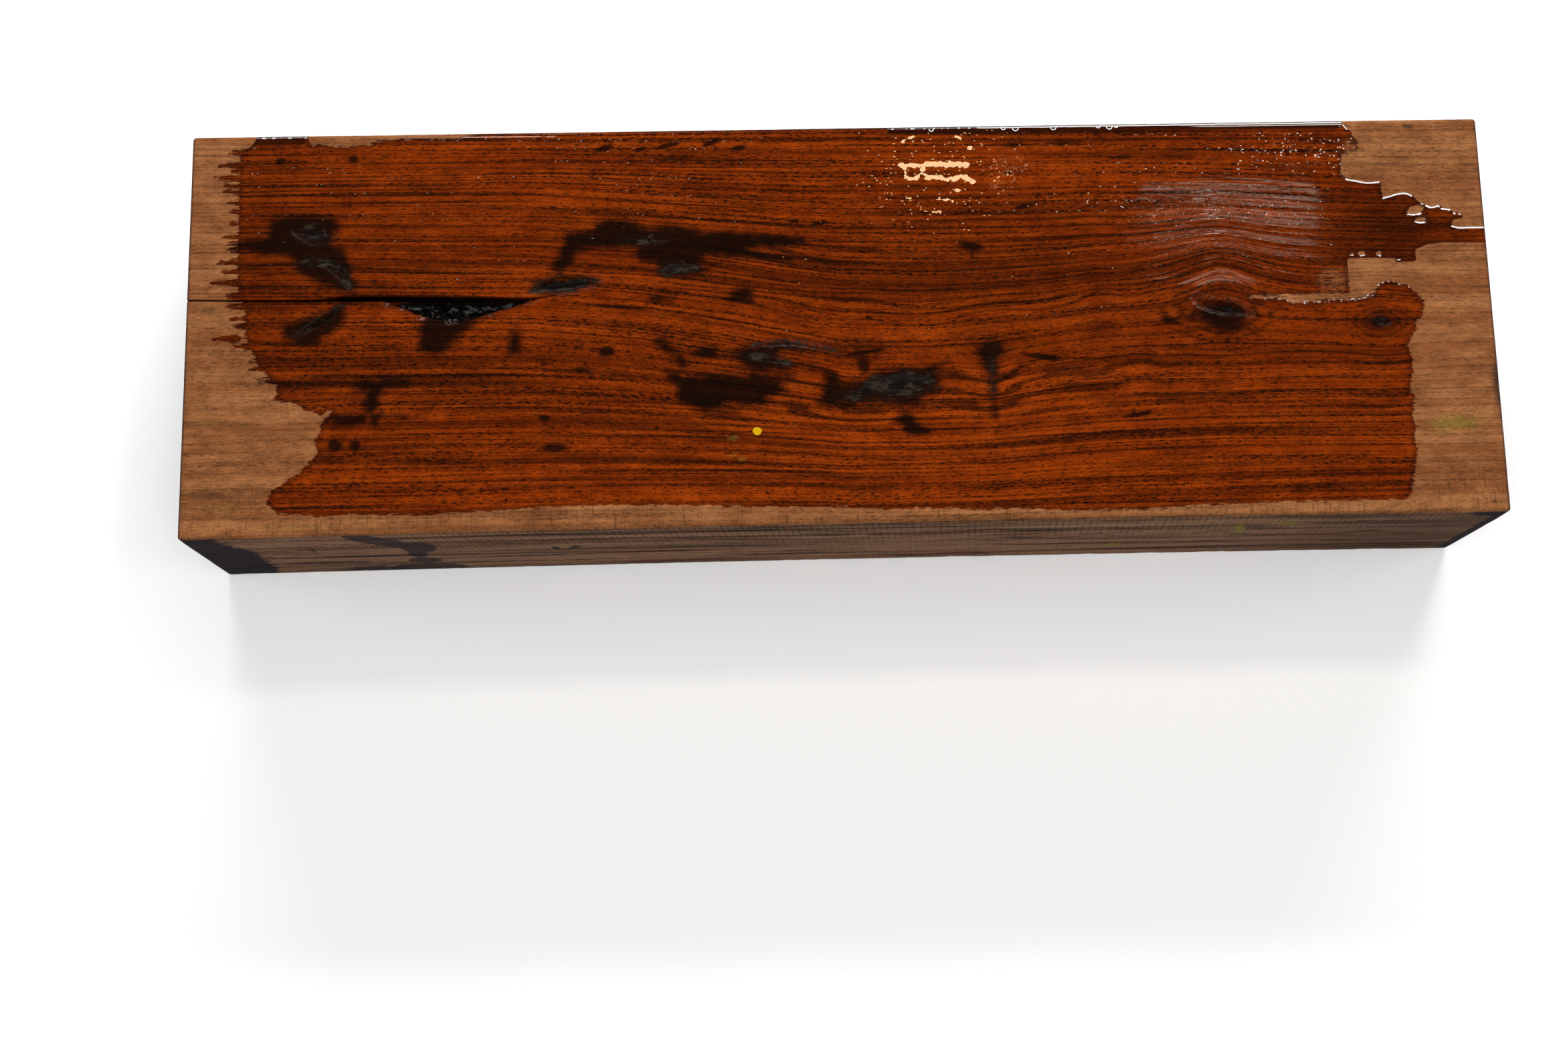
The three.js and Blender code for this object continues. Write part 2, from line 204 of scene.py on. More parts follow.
# Outlines of the dark mineral stains
STAINS = [
    [(-281, 57), (-276, 59), (-265, 60), (-250, 58.5), (-246, 55), (-249, 50), (-250, 44),
     (-243, 40), (-240, 35), (-239, 28), (-236, 24), (-240, 20), (-246, 21), (-252, 25),
     (-260, 27), (-266, 31), (-268, 36), (-270, 40), (-280, 40), (-290, 42), (-298, 44),
     (-297, 47), (-290, 48), (-282, 49), (-280, 53)],
    [(-243, 15), (-247, 13), (-252, 10), (-258, 8), (-264, 6), (-271, 4), (-273, 0), (-270, -4),
     (-263, -6), (-256, -5.5), (-250, -1), (-245, 4), (-242, 9)],
    [(-222, 15), (-203, 6), (-206, 0), (-206, -9), (-200, -12), (-193, -11), (-189, -5), (-184, 0),
     (-178, 5), (-160, 12), (-150, 15)],
    [(-161, -1), (-158, -2), (-157, -8), (-159, -13), (-163, -13), (-162, -6)],
    [(-238, -28), (-233, -25.5), (-226, -25), (-213, -24), (-210, -26), (-216, -28), (-222, -29),
     (-225, -32), (-226, -36), (-226, -40), (-221, -42.5), (-208, -44), (-216, -45), (-224, -44),
     (-227, -49), (-230, -44), (-232, -37), (-231, -31)],
    [(-252, -41), (-232, -41), (-228, -44), (-233, -47), (-245, -47), (-252, -45)],
    [(-134, 49), (-122, 50), (-119, 54), (-116, 55.5), (-108, 55.5), (-100, 54.5), (-98, 52),
     (-94, 51), (-85, 51.5), (-75, 50.5), (-68, 49), (-55, 48), (-45, 47), (-33, 46.5), (-25, 45),
     (-18, 44.5), (-16, 42), (-24, 41), (-38, 40), (-45, 38.5), (-38, 36.5), (-30, 34.5),
     (-24, 33.5), (-38, 34), (-50, 35.5), (-66, 36), (-70, 34), (-68, 31), (-64, 29.5), (-68, 27),
     (-76, 25.5), (-84, 25), (-89, 27), (-90, 31), (-92, 34), (-98, 35), (-101, 37), (-100, 40),
     (-108, 41), (-118, 41), (-128, 40), (-131, 36), (-134, 31), (-138, 26), (-141, 32),
     (-136, 42)],
    [(-152, 20), (-148, 24), (-140, 26.5), (-130, 27), (-120, 25.5), (-119, 22), (-125, 20.5),
     (-133, 18.5), (-143, 17.5)],
    [(-95, 15.5), (-90, 17), (-86, 15.5), (-81, 13.5), (-84, 12), (-90, 12.5), (-94, 14)],
    [(-51, 19.5), (-46, 20), (-43, 18), (-44, 12), (-50, 11.5), (-55, 14), (-53, 17)],
    [(-92, -7), (-88, -5.5), (-85, -8), (-83, -12), (-78, -14), (-76, -19), (-78, -22), (-80, -22),
     (-81, -17), (-86, -13), (-90, -10)],
    [(-86, -23), (-80, -22), (-78, -26), (-70, -27), (-62, -25), (-55, -24), (-47, -26), (-44, -24),
     (-35, -26), (-30, -29), (-28, -33), (-33, -35), (-37, -36), (-38, -39), (-45, -40), (-52, -38),
     (-58, -38), (-62, -41), (-68, -42), (-74, -40), (-80, -37), (-81, -32), (-80, -29),
     (-85, -26)],
    [(-73, -12), (-68, -10), (-62, -11), (-61, -16), (-66, -17), (-73, -16)],
    [(-51, -12), (-45, -11), (-42, -10), (-36, -8.5), (-28, -8), (-20, -9.5), (-10, -11),
     (0, -13.5), (-8, -13.5), (-20, -12.5), (-30, -13), (-32, -17), (-26, -19), (-24, -21),
     (-30, -22.5), (-36, -22), (-40, -24), (-47, -21), (-50, -17)],
    [(-14, -38), (-10, -36), (-9, -32), (-10, -28), (-4, -25.5), (-1, -30), (10, -29), (15, -25.5),
     (22, -23), (30, -22), (38, -23), (46, -21), (52, -20), (46, -23.5), (44, -26), (47, -29),
     (46, -34), (40, -36), (38, -38), (36, -42), (30, -42), (26, -41), (18, -39.5), (10, -40.5),
     (2, -42), (-8, -40.5)],
    [(27, -44), (32, -44), (34, -48), (38, -51), (42, -54), (40, -57), (33, -57.5), (29, -54),
     (28, -51), (24, -50), (26, -47)],
    [(66, -13), (72, -9.5), (78, -12), (80, -16), (75, -20), (75, -28), (74, -40), (73, -48),
     (71.5, -40), (71, -28), (69, -24), (66, -18)],
]
# Small spots: [x, y, half length, half width, turn in degrees, how dark]
SPOTS = [
    (-246, -57, 3.6, 3.2, 0, 0.9), (-236, -57, 2.9, 2.8, 0, 0.9), (-116, 93, 5, 1.5, 20, 0.9),
    (-98, 92, 3.4, 1.2, 20, 0.8), (-84, 94, 7, 1.4, 14, 0.9), (-63, 95, 5, 1.8, 22, 0.9),
    (-49, 92, 4, 1.5, 10, 0.7), (-240, 89, 2.6, 2.2, 0, 0.9), (-276, 88.5, 3.2, 2, 0, 0.8),
    (-23, 53, 3, 0.9, 0, 0.8), (-10, 52, 5, 1.1, 12, 0.9), (65, 39, 7, 2.4, -6, 0.75),
    (64.6, 36, 1, 6, 0, 0.6), (91, 59, 6, 1.2, 14, 0.8), (112, 92, 11, 1.6, 4, 0.55),
    (88, 91.5, 9, 1.8, 6, 0.5), (140, 84, 10, 1.2, 0, 0.55), (168, 84, 8, 1.2, -2, 0.5),
    (-145, -45, 3.6, 1.9, -8, 0.85), (-140, -60, 7.5, 2.2, 0, 0.8), (-115, -12, 4.4, 2.6, 4, 0.85),
    (-145, -18, 3.6, 1.4, 0, 0.6), (-127, -21, 7.5, 2.4, 0, 0.55), (-91, -51, 1.2, 1.8, 0, 0.7),
    (-83, -55.5, 1.8, 1, 0, 0.5), (143, -48, 7, 1.2, 10, 0.85), (140, -46.6, 1.2, 2.4, 0, 0.7),
    (219, -63, 2.4, 1.2, 0, 0.4), (239, -63, 2, 1, 0, 0.4), (13, 3, 2, 1.2, 0, 0.8),
    (-110, 10.6, 18, 1, -5, 0.8), (10, -21, 4.2, 7.5, 8, 0.6), (10, -14.6, 11, 1, 8, 0.85),
    (68, -25, 1.2, 2, 0, 0.7), (79, -28, 2.2, 1.6, 0, 0.8), (187, -0.5, 13, 7, -12, 0.75),
    (191, 2, 7, 4.5, -14, 1), (160, -1, 5, 3, -30, 0.65), (264, -3.4, 6, 3, 0, 0.75),
    (264, -3.4, 2.4, 2, 0, 1), (73, -56, 1.4, 3.2, 0, 0.45),
    (300, -12, 12, 1.6, 12, 0.3), (312, -13, 8, 3, -8, 0.3), (98, -18.4, 10, 1.5, -9, 0.95),
]

# Faint smears on the dry wood, and places where the water has nearly dried:
# [x, y, half length, half width, turn in degrees, how strong]
OLIVE_SMEARS = [
    (296, -55, 15, 5, 2, 0.75), (-54, -56.5, 2.4, 1.8, 0, 0.8), (-54, -65, 1.6, 2.2, 0, 0.6),
    (-50, -67, 3, 1.6, 0, 0.5), (-300, -86, 22, 2.2, -2, 0.4), (-260, -96, 40, 2, 0, 0.4),
    (290, 80, 26, 2.4, -3, 0.35), (-296, -45, 26, 1.6, -1, 0.3),
]
GREY_SMEARS = [
    (-309, 12, 7, 3.2, -18, 0.55), (-265, -56, 3, 2.6, 0, 0.4), (285.5, 98, 3.6, 1.5, 0, 0.9),
    (318.5, -36, 2.6, 16, 0, 0.9), (310, 84, 1.1, 22, 0, 0.45), (-300, -81, 24, 2.2, -3, 0.5),
    (-296, -91, 30, 2.4, -3, 0.4), (-308, 52, 10, 2, 8, 0.35), (-300, 66, 12, 1.6, -4, 0.3),
    (298, -10, 20, 2, 8, 0.35), (308, 24, 12, 1.4, -14, 0.3), (-303, -34, 16, 3, -3, 0.25),
    (300, -80, 14, 2, 0, 0.25), (-60, -97, 60, 1.6, 0, 0.25),
]
NEARLY_DRY = [(243, 19, 12, 9, 0, 0.75), (256, 88, 5, 3.4, 0, 0.9), (225, 10, 20, 3, 0, 0.4)]

# The line that the branches sat on, in plan, and how deep the tree's heart lies under the top
HEART_LINE = ([-320, -200, -150, -100, -50, 0, 40, 72, 125, 184, 264, 320],
              [17, 15, 14, 9, 0, -10, -12, -11, -4, -1, -3, -3])
HEART_DEPTH = 9.0
HEART_SWAY = 60.0  # how far from the heart line the grain still follows it
KNOT_SHARE = 0.66  # how much of a knot is dark in the middle
# Knots: [x, reach along the grain, how near the heart comes up]
KNOTS = [(185, 22, 1.0), (264, 18, 0.97), (125, 13, 0.93), (73, 17, 0.97), (8, 16, 0.94),
         (-270, 16, 0.8), (158, 8, 0.7)]
# Their rings: [x, y, half length, half width, how dark the middle is, how clear the rings are]
EYES = [(184, 3.5, 29, 14.5, 1.0, 1.0), (264, -3.2, 17, 9.5, 0.95, 0.9), (125, -4, 14, 6, 0.3, 0.6),
        (73, -10, 20, 9, 0.5, 0.8), (8, -13, 16, 9, 0.6, 0.4), (-270, 10, 20, 8, 0.1, 0.35)]
# Where the grain is pushed aside: [x, y, reach along, reach across, push towards the back]
PUSHES = [
    (187, 24, 15, 24, 12), (187, -22, 22, 16, -3), (73, -30, 7, 13, -2.6), (8, -34, 11, 15, -2),
    (125, 12, 18, 12, 1.5), (264, 14, 16, 14, 3), (264, -16, 16, 12, -2.5),
    (-70, 36, 26, 14, 2), (73, 4, 16, 10, 2), (310, 60, 110, 42, -9), (330, -90, 200, 40, 4),
]
SWAY = (1.2, (190, 36, 36)), (0.4, (50, 9, 9))  # how far the grain wanders, over what lengths
LINE_PITCH = 3.9  # from one growth line to the next
DRIFT = (1.6, (600, 16, 40)), (0.5, (400, 4.5, 12))  # in lines, how their spacing varies
# Darker or lighter areas: [x, y, half length, half width, how much darker]
SHADES = [(70, 32, 130, 30, 0.24), (195, 60, 90, 9, 0.2), (-285, 55, 22, 60, 0.22),
          (150, -12, 120, 10, 0.16), (-10, -60, 90, 30, -0.08), (-180, 78, 110, 16, -0.06),
          (275, 44, 38, 22, 0.7), (250, -65, 40, 30, 0.1), (-210, -12, 90, 16, 0.1),
          (-285, -20, 14, 60, 0.15), (-245, 30, 55, 70, 0.13), (-100, 20, 40, 40, 0.06)]

# Marks on the front, in X and Z: [x, z, half length, half height, turn in degrees, how strong]
FRONT_DARK = [
    (-213, 40, 3.5, 2.6, 0, 0.5), (-287, 47, 3, 2, 0, 0.8), (15, 66, 5, 1.3, -8, 0.8),
    (40, 71, 2, 3.4, 10, 0.5), (-246, 41, 24, 1.5, 0, 0.8), (-262, 27, 34, 2, -1, 0.9),
    (-160, 33, 46, 2, 2, 0.8), (-60, 46, 60, 3, -4, 0.6), (-50, 62, 46, 2.6, -10, 0.5),
    (-6, 92, 50, 3.2, 0, 0.5), (-20, 20, 52, 2.4, 2, 0.6), (80, 52, 60, 3, 6, 0.4),
    (250, 76, 50, 3, -6, 0.4), (-263, 64, 1.6, 10, 0, 0.5), (-144, 52, 2, 6, 12, 0.9),
    (-134, 53, 3, 5.4, -20, 0.9), (-240, 8, 17, 8, 0, 0.9), (-217, 88, 6, 4, -40, 0.4),
]
FRONT_RED = [(92, 61, 18, 1.6, 3, 1.0), (-96, 36, 26, 1.6, -1, 1.0), (270, 78, 26, 1.5, -4, 0.7),
             (-100, 10, 40, 3, 0, 0.6), (120, 14, 90, 2.6, 0, 0.6), (270, 26, 40, 2, -3, 0.5)]
# The same for what has soaked in or rubbed on, but last comes how much fainter it is
SOAKED = [(-227, 80, 24, 8, -52, 0), (-211, 62, 9, 14, 0, 0), (-214, 44, 5, 8, 0, 0),
          (-213, 28, 9, 7, 0, 0), (-214, 7, 20, 12, 0, 0)]
FRONT_CHALK = [(195.5, 65, 14, 3.4, -79, 0), (138, 27, 8, 14, 0, 0.35), (218, 75, 16, 7, 0, 0.35)]

# Places on the top that the finish names: an oval's middle and its half sizes
PAINT_DAB = (-42.3, -53), (2.4, 2.1)
WAX_CORNER = (318, 92), (20, 8)  # this one is in X and Z
GLARE = (196, 44), (74, 30)  # where a thin film of water mirrors the lamp on the right
BROKEN_WATER = (49, 78), (36, 30)  # where the water has drawn together into films and drops
SPECKLED = (224, 84), (52, 20)
LESS_SPECKLED = (180, 52), (110, 40)
# The cells that pores and specks of water grow from: how long and how wide
PORE_CELL = 3.8, 0.9
FINE_PORE_CELL = 1.7, 0.5
SPECK_CELL = 0.7, 0.34

# The stage, in metres: name, place, size, watts, tint. The softboxes are turned to the billet;
# the small lamps hang level, where the water mirrors them into the camera.
LIGHTS = [
    ("left_softbox", (-1.9, -0.2, 1.5), (1.6, 1.6), 17, (1, 1, 1)),
    ("right_softbox", (1.9, -0.1, 1.5), (1.6, 1.6), 17, (1, 1, 1)),
    ("overhead_softbox", (0, -0.95, 2.4), (2.6, 1.3), 36, (1, 1, 1)),
    ("back_softbox", (0.15, 1.9, 0.95), (2.4, 0.22), 58, (1, 1, 1)),
    ("warm_lamp", (0.194, 0.6536, 1.596), (0.092, 0.046), 0.62, (1, 0.64, 0.34)),
    ("window_lamp", (0.563, 0.575, 1.596), (0.22, 0.11), 0.42, (1, 0.82, 0.64)),
    ("right_spot", (0.645, 0.879, 1.596), (0.2, 0.2), 5, (1, 0.92, 0.82)),
    ("left_spot", (-0.406, 0.879, 1.596), (0.2, 0.2), 2.6, (1, 0.95, 0.9)),
]
SOFTBOX_AIM = (0, 0, 0.09)
SOFTBOXES = ("left_softbox", "right_softbox", "overhead_softbox", "back_softbox")
WORLD_STRENGTH = 0.06  # what the room's own light adds
FLOOR_SIZE = 12
FLOOR_COLOUR = (0.93, 0.93, 0.93, 1.0)
# The camera, which looks down at the billet from in front: metres, degrees and millimetres
CAMERA_PLACE = (-0.04376, -0.29165, 1.05491)
CAMERA_TURN = (11.403, -0.5724, -1.1355)
CAMERA_LENS = 46.9
CAMERA_SENSOR = 36
CAMERA_REACH = 50


def srgb(red, green, blue):
    """A colour as seen on a screen, 0 to 255, turned into Blender's linear values."""
    return tuple(
        v / 12.92 if v <= 0.04045 else ((v + 0.055) / 1.055) ** 2.4
        for v in (red / 255, green / 255, blue / 255)
    )


class BilletSizes(bpy.types.PropertyGroup):
    """Sizes of the sawn block."""

    length: FloatProperty(
        name="Length", description="Along the grain", default=0.64, unit="LENGTH")
    thickness: FloatProperty(
        name="Thickness", description="From the underside to the wetted top",
        default=frame["record"]["size"]["bbox_m"][2], unit="LENGTH")
    width_left: FloatProperty(
        name="Width, left end", description="Across the end with the split", default=0.204,
        unit="LENGTH")
    width_right: FloatProperty(
        name="Width, right end", description="Across the sound end", default=0.2013, unit="LENGTH")
    front_bow: FloatProperty(
        name="Bow of the front", description="How far the saw wandered into the front face",
        default=0.0011, unit="LENGTH")
    arris: FloatProperty(
        name="Worn edge", description="Radius that handling has worn on the edges",
        default=0.0018, unit="LENGTH")
    wear: FloatProperty(
        name="Wear", description="How deep the edges are dinted", default=0.0004, unit="LENGTH")
    seed: IntProperty(name="Seed", description="Starts the small random forms", default=7)


def colour(name, description, *value):
    """A colour setting whose first value is given as seen on a screen."""
    return FloatVectorProperty(
        name=name, description=description, subtype="COLOR", size=3, min=0, max=1,
        default=srgb(*value))


class BilletColours(bpy.types.PropertyGroup):
    """Colours of the wood and of what is on it."""

    wet_light: colour("Wet, light", "Wetted wood between the growth lines", 125, 47, 4)
    wet_mid: colour("Wet, middle", "Wetted wood, most of it", 110, 38, 2)
    wet_dark: colour("Wet, dark", "Fine streaks in wetted wood", 52, 14, 1)
    # wet_line_and_brim_shade is also the painted shade along the back brim
    wet_line_and_brim_shade: colour("Wet, lines", "Growth lines and pores in wetted wood", 26, 7, 2)
    dry_light: colour("Dry, light", "Dry wood between the growth lines", 138, 90, 54)
    dry_mid: colour("Dry, middle", "Dry wood, most of it", 118, 71, 39)
    dry_dark: colour("Dry, dark", "Growth lines in dry wood", 72, 45, 27)
    side_light: colour("Sides, light", "The weathered front and back", 131, 97, 74)
    side_dark: colour("Sides, dark", "Growth lines in the weathered sides", 50, 36, 27)
    rust: colour("Rust streaks", "Reddish pores in the front", 66, 26, 14)
    stain: colour("Stain", "Dark mineral stain", 14, 5, 2)
    bark: colour("Bark", "Grey bark in the pockets", 44, 36, 27)
    # bark_dark_and_depth_shade is the colour of the clefts in the bark and also the painted shade
    # deep in the split, pockets and knot holes
    bark_dark_and_depth_shade: colour("Bark, dark", "Clefts in the bark", 7, 5, 4)
    sealer: colour("Sealer", "Wax on the ends", 26, 25, 33)
    paint: colour("Paint", "The dab of yellow paint", 190, 148, 14)
    chalk: colour("Green smudge", "Green smears on the sides", 112, 108, 40)


def all_off():
    bpy.ops.object.select_all(action="DESELECT")


def select_edges(mesh, wanted):
    """In edit mode, selects the edges that pass a test, and no others."""
    bpy.ops.mesh.select_all(action="DESELECT")
    edit = bmesh.from_edit_mesh(mesh)
    for edge in edit.edges:
        if wanted(*(v.co for v in edge.verts)):
            edge.select_set(True)
    bmesh.update_edit_mesh(mesh)


def read_points(mesh):
    points = np.zeros(len(mesh.vertices) * 3, np.float32)
    mesh.vertices.foreach_get("co", points)
    return points.reshape(-1, 3).astype(float)


def write_points(mesh, points):
    mesh.vertices.foreach_set("co", points.astype(np.float32).ravel())
    mesh.update()


def wander(points, *scale):
    """Smooth random values of about -1 to 1, one a point, with the given lengths per axis."""
    return np.array([noise.noise(Vector(p)) for p in points / np.array(scale)])


def smooth_step(value, low, high):
    t = np.clip((value - low) / (high - low), 0, 1)
    return t * t * (3 - 2 * t)


def outline_distance(x, y, outline):
    """How far each point lies inside a closed outline; negative outside."""
    nearest = np.full(len(x), np.inf)
    inside = np.zeros(len(x), bool)
    for (ax, ay), (bx, by) in zip(outline, outline[1:] + outline[:1]):
        nearest = np.minimum(nearest, line_distance(x, y, (ax, ay), (bx, by))[0])
        crosses = (ay > y) != (by > y)
        with np.errstate(divide="ignore", invalid="ignore"):
            inside ^= crosses & (x < (bx - ax) * (y - ay) / (by - ay if by != ay else 1e-9) + ax)
    return np.where(inside, nearest, -nearest)


def deepest(distances):
    """The largest of several distances inside, for each point."""
    return np.max(list(distances), axis=0, initial=NOT_NEAR)


def line_distance(x, y, a, b):
    """Distance to a straight line between two points, and how far along it, 0 to 1."""
    dx, dy = b[0] - a[0], b[1] - a[1]
    t = np.clip(((x - a[0]) * dx + (y - a[1]) * dy) / (dx * dx + dy * dy), 0, 1)
    return np.hypot(x - a[0] - t * dx, y - a[1] - t * dy), t


def smears(x, y, places):
    """The strength, at each point, of the strongest of a list of soft ovals."""
    strength = np.zeros(len(x))
    for sx, sy, long, wide, turn, much in places:
        c, s = math.cos(math.radians(turn)), math.sin(math.radians(turn))
        u, v = (x - sx) * c + (y - sy) * s, (y - sy) * c - (x - sx) * s
        strength = np.maximum(strength, much * np.exp(-((u / long) ** 2) - (v / wide) ** 2))
    return strength


def wet_distance(x, y):
    """How far inside the wetted area each point of the top lies; negative where it is dry."""
    wet = outline_distance(x, y, WET_OUTLINE)
    for tip_x, tip_y in WET_TIPS:
        away, t = line_distance(x, y, (tip_x, tip_y), (tip_x + TIP_ROOT, tip_y))
        wet = np.maximum(wet, TIP_HALF_WIDTH * (0.35 + 0.65 * t) - away)
    for island in DRY_ISLANDS:
        wet = np.minimum(wet, -outline_distance(x, y, island))
    return wet


def hollow_shape(x, y, stations, rough):
    """For each point, how far inside the hollow's rim it lies and how deep the hollow is there."""
    rim = np.full(len(x), NOT_NEAR)
    depth = np.zeros(len(x))
    for a, b in zip(stations, stations[1:]):
        away, t = line_distance(x, y, a[:2], b[:2])
        half = (a[2] + (b[2] - a[2]) * t) * (1 + 0.45 * rough)
        deep = a[3] + (b[3] - a[3]) * t
        inner = half - away
        share = np.clip(1 - away / np.maximum(half, 0.05), 0, 1)
        here = deep * np.sin(share * math.pi / 2) ** np.where(deep > 1.45, 0.6, 1.3)
        rim = np.maximum(rim, inner)
        depth = np.maximum(depth, np.where(inner > 0, here, 0))
    return rim, depth


class BILLET_OT_block(bpy.types.Operator):
    """Make the sawn block with its split, bark pockets and knot holes"""

    bl_idname = "billet.block"
    bl_label = "Billet"

    def execute(self, context):
        sizes = context.scene.billet_sizes
        block = self.rough_block(sizes)
        mesh = block.data
        points = read_points(mesh) / MM
        points = self.saw_and_wear(points, sizes)
        points = self.open_hollows(points, sizes)
        write_points(mesh, points * MM)
        self.cut_split(block, sizes)
        self.map_surface(mesh, sizes)
        bpy.context.view_layer.objects.active = block
        block.select_set(True)
        bpy.ops.object.shade_smooth_by_angle(angle=math.radians(SMOOTH_ANGLE))
        mesh.materials.append(make_wood(context.scene.billet_colours, sizes.thickness / MM))
        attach(block, "root")
        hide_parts("billet")
        return {"FINISHED"}

    def rough_block(self, sizes):
        """Makes a cube with worn edges, cut finely along, across and up."""
        all_off()
        bpy.ops.mesh.primitive_cube_add(
            size=1, location=(0, 0, sizes.thickness / 2),
            scale=(sizes.length, sizes.width_left, sizes.thickness))
        block = bpy.context.object
        block.name = block.data.name = "billet_wood"
        bpy.ops.object.transform_apply(location=True, rotation=True, scale=True)
        mesh = block.data
        bpy.ops.object.mode_set(mode="EDIT")
        bpy.ops.mesh.select_mode(type="EDGE")
        bpy.ops.mesh.select_all(action="SELECT")
        bpy.ops.mesh.bevel(offset=sizes.arris, segments=ARRIS_SEGMENTS, affect="EDGES")
        columns = sizes.length / (COLUMN_CUTS[0] + 1) * 0.5
        along = lambda a, b: abs(a.x - b.x) > columns
        for cuts in COLUMN_CUTS:
            select_edges(mesh, along)
            bpy.ops.mesh.subdivide(number_cuts=cuts)
        rows = sizes.width_right / (ROW_CUTS[0] + 1) * 0.5
        for cuts in ROW_CUTS:
            select_edges(mesh, lambda a, b: abs(a.y - b.y) > rows and max(a.z, b.z) > MM * 0.01)
            bpy.ops.mesh.subdivide(number_cuts=cuts)
        tall = sizes.thickness * 0.5
        for cuts in HEIGHT_CUTS:
            select_edges(mesh, lambda a, b: abs(a.z - b.z) > tall)
            bpy.ops.mesh.subdivide(number_cuts=cuts)
        bpy.ops.object.mode_set(mode="OBJECT")
        return block

    def saw_and_wear(self, points, sizes):
        """Spaces the columns, tapers and bows the block, and dints its edges."""
        x, y, z = points.T
        places, columns = COLUMN_PLACES
        span = columns[-1] * (x - places[0]) / (places[-1] - places[0])
        inner = np.abs(x) < places[-1]
        x = np.where(inner, np.interp(span, columns, places), x)
        t = x / (sizes.length / MM) + 0.5
        left, right = sizes.width_left / MM, sizes.width_right / MM
        width = left + (right - left) * t - sizes.front_bow / MM * 4 * t * (1 - t)
        y = BACK - (BACK - y) * width / left
        height = sizes.thickness / MM
        # Dints go inwards only, and only where two faces meet
        near_side = np.minimum(BACK - y, y - (BACK - width))
        near_top = np.minimum(height - z, z)
        near_end = RIGHT_END - np.abs(x)
        gaps = np.sort(np.stack([near_side, near_top, near_end]), axis=0)
        first, second = WORN_WITHIN
        edge = np.exp(-((gaps[1] / second) ** 2)) * np.exp(-((gaps[0] / first) ** 2))
        places = np.stack([x, y, z], axis=1)
        chip = np.maximum(wander(places, 17, 9, 9) + 0.7 * wander(places, 5, 3, 3) - 0.1, 0)
        dint = edge * sizes.wear / MM * 1.6 * chip
        dint = np.where((y > 90) & (z > 80), dint * 0.2, dint)
        y = y - np.sign(y) * dint * np.exp(-near_side / 2)
        z = z - np.sign(z - height / 2) * dint * np.exp(-near_top / 2)
        return np.stack([x, y, z], axis=1)

    def open_hollows(self, points, sizes):
        """Sinks the bark pockets, the grooves and the knots' holes into the top."""
        height = sizes.thickness / MM
        top = points[:, 2] > height - 0.05
        x, y = points[top, 0], points[top, 1]
        flat = np.stack([x, y, np.full(len(x), float(sizes.seed))], axis=1)
        rough = wander(flat, 3.1, 2.2, 1) * 0.6 + wander(flat, 1.7, 1.1, 1) * 0.4
        flakes = wander(flat, 2.4, 1.3, 1) + 0.6 * wander(flat, 1.3, 0.9, 1)
        drop = np.zeros(len(x))
        for stations in HOLLOWS.values():
            depth = hollow_shape(x, y, stations, rough)[1]
            drop = np.maximum(drop, depth * (1 + 0.35 * flakes))
        points[top, 2] -= np.maximum(drop, 0)
        return points

    def cut_split(self, block, sizes):
        """Cuts the drying split with a thin wedge."""
        height = sizes.thickness / MM
        top = height + CUTTER_RISE
        wedge = bmesh.new()
        rings = []
        for x, y, half, depth in SPLIT:
            foot = half * SPLIT_FOOT
            corners = [(y - half, top), (y - foot, height - depth), (y + foot, height - depth),
                       (y + half, top)]
            rings.append([wedge.verts.new((x * MM, cy * MM, cz * MM)) for cy, cz in corners])
        for here, there in zip(rings, rings[1:]):
            for i in range(4):
                j = (i + 1) % 4
                wedge.faces.new((here[i], here[j], there[j], there[i]))
        wedge.faces.new(rings[0])
        wedge.faces.new(rings[-1])
        bmesh.ops.recalc_face_normals(wedge, faces=wedge.faces)
        mesh = bpy.data.meshes.new("split_wedge")
        wedge.to_mesh(mesh)
        wedge.free()
        cutter = bpy.data.objects.new("split_wedge", mesh)
        bpy.context.scene.collection.objects.link(cutter)
        all_off()
        bpy.context.view_layer.objects.active = block
        block.select_set(True)
        cut = block.modifiers.new("split", "BOOLEAN")
        cut.operation = "DIFFERENCE"
        cut.solver = "EXACT"
        cut.object = cutter
        bpy.ops.object.modifier_apply(modifier=cut.name)
        bpy.data.objects.remove(cutter)

    def map_surface(self, mesh, sizes):
        """Stores, at each point, what the finish needs to know about that place."""
        points = read_points(mesh) / MM
        x, y, z = points.T
        below = sizes.thickness / MM - z
        split_y = np.interp(x, [s[0] for s in SPLIT], [s[1] for s in SPLIT])
        in_split = (np.abs(y - split_y) < SPLIT_REACH) & (x < SPLIT[-1][0] + 1)
        in_split &= np.abs(x) < RIGHT_END - 0.5
        on_top = (y > TOP_FRONT) & (y < TOP_BACK) & (np.abs(x) < TOP_END)
        in_pocket = on_top & ((below < DEEPEST_POCKET) | in_split)
        side = np.where(in_pocket, 0, smooth_step(below, *EDGE_BAND))
        end = smooth_step(np.abs(x), *END_BAND)
        off_top = side > 0.5
        seed = float(sizes.seed)
        self.map_water(mesh, x, y, below, off_top, seed)
        self.map_grain(mesh, points, below, seed)

